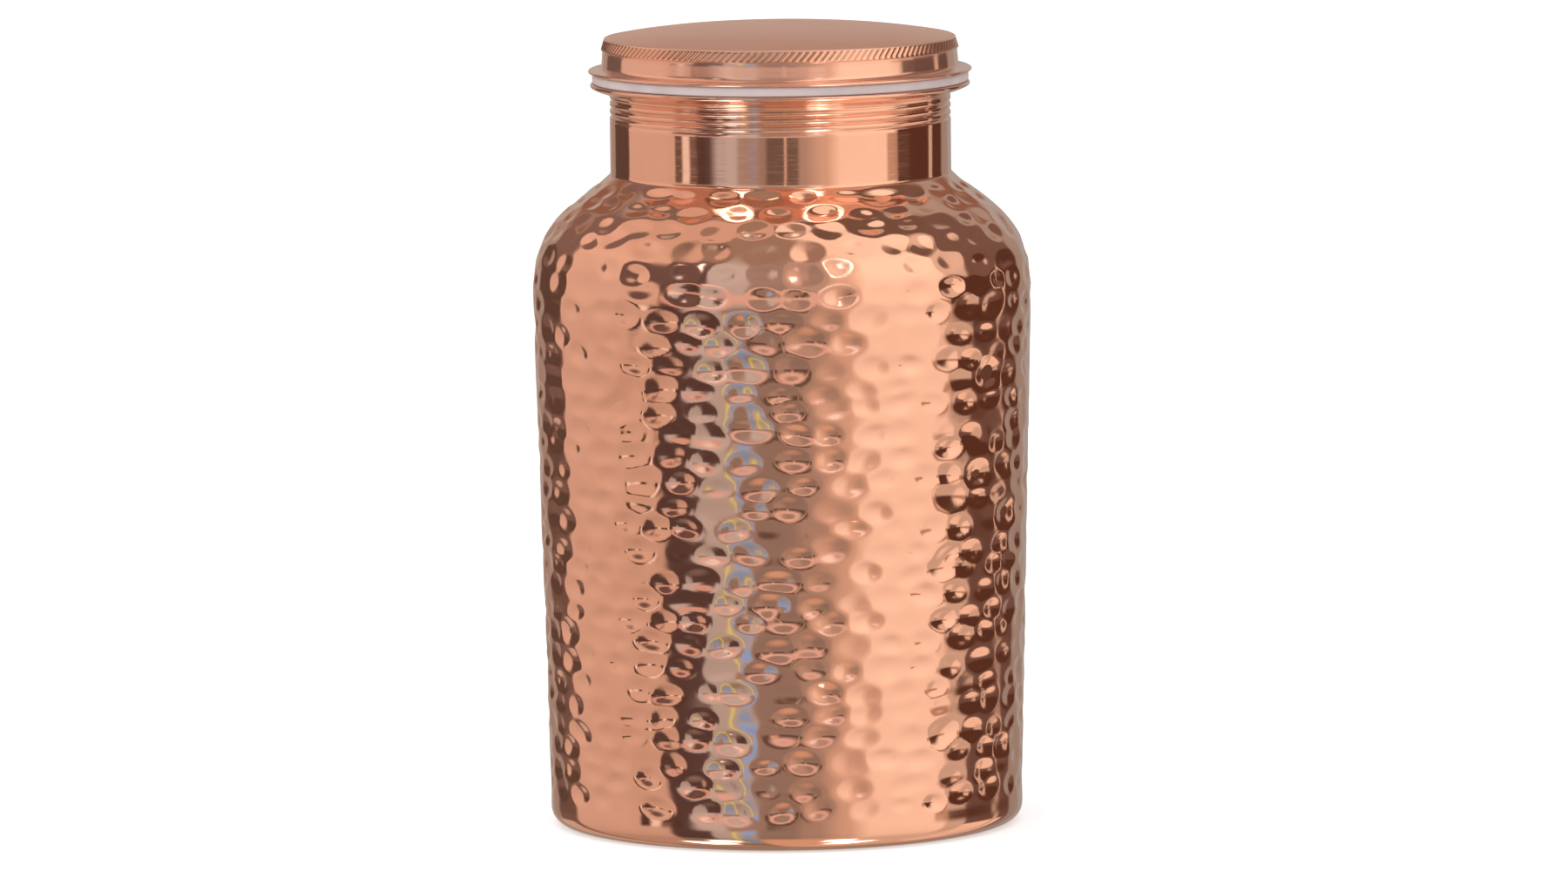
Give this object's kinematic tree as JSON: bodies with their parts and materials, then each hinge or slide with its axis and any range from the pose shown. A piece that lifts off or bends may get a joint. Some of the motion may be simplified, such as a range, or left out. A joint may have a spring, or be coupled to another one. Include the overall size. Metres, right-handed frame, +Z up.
{
  "type": "water jug",
  "caption": "Hammered copper water jug with a smooth threaded neck, a flared lip, a sealing ring and a low domed screw lid.",
  "frame": {"origin": "centre of the base, on the surface the jug stands on", "axes": "+Z up along the jug's axis, out of its mouth"},
  "size_m": [0.1318, 0.1318, 0.2115],
  "materials": {
    "copper_hammered": "hand-hammered and mirror-polished copper",
    "copper_polished": "spun and polished copper",
    "copper_satin": "satin copper with a polished side",
    "braze": "brazing alloy fillet, as flowed",
    "solder": "soft solder fillet, as flowed",
    "silicone_white": "moulded milky white silicone"
  },
  "bodies": {
    "vessel": {"body_wall": "copper_hammered", "base_disc": "copper_polished", "base_braze_ring": "braze", "neck_collar": "copper_polished", "neck_braze_ring": "braze"},
    "seal": {"sealing_ring": "silicone_white"},
    "lid": {"lid_cap": "copper_satin", "lid_plug": "copper_polished", "lid_solder_ring": "solder"}
  },
  "joints": [
    {"name": "lid_rise", "type": "slide", "parent": "vessel", "child": "seal", "axis": [0, 0, 1], "range_m": [0, 0.0131]},
    {"name": "lid_turn", "type": "hinge", "parent": "seal", "child": "lid", "pos_m": [0, 0, 0.2], "axis": [0, 0, 1], "range_deg": [0, 2340]}
  ],
  "couplings": [
    {"joint": "lid_rise", "follows": "lid_turn", "m_per_rad": 0.00031831}
  ]
}
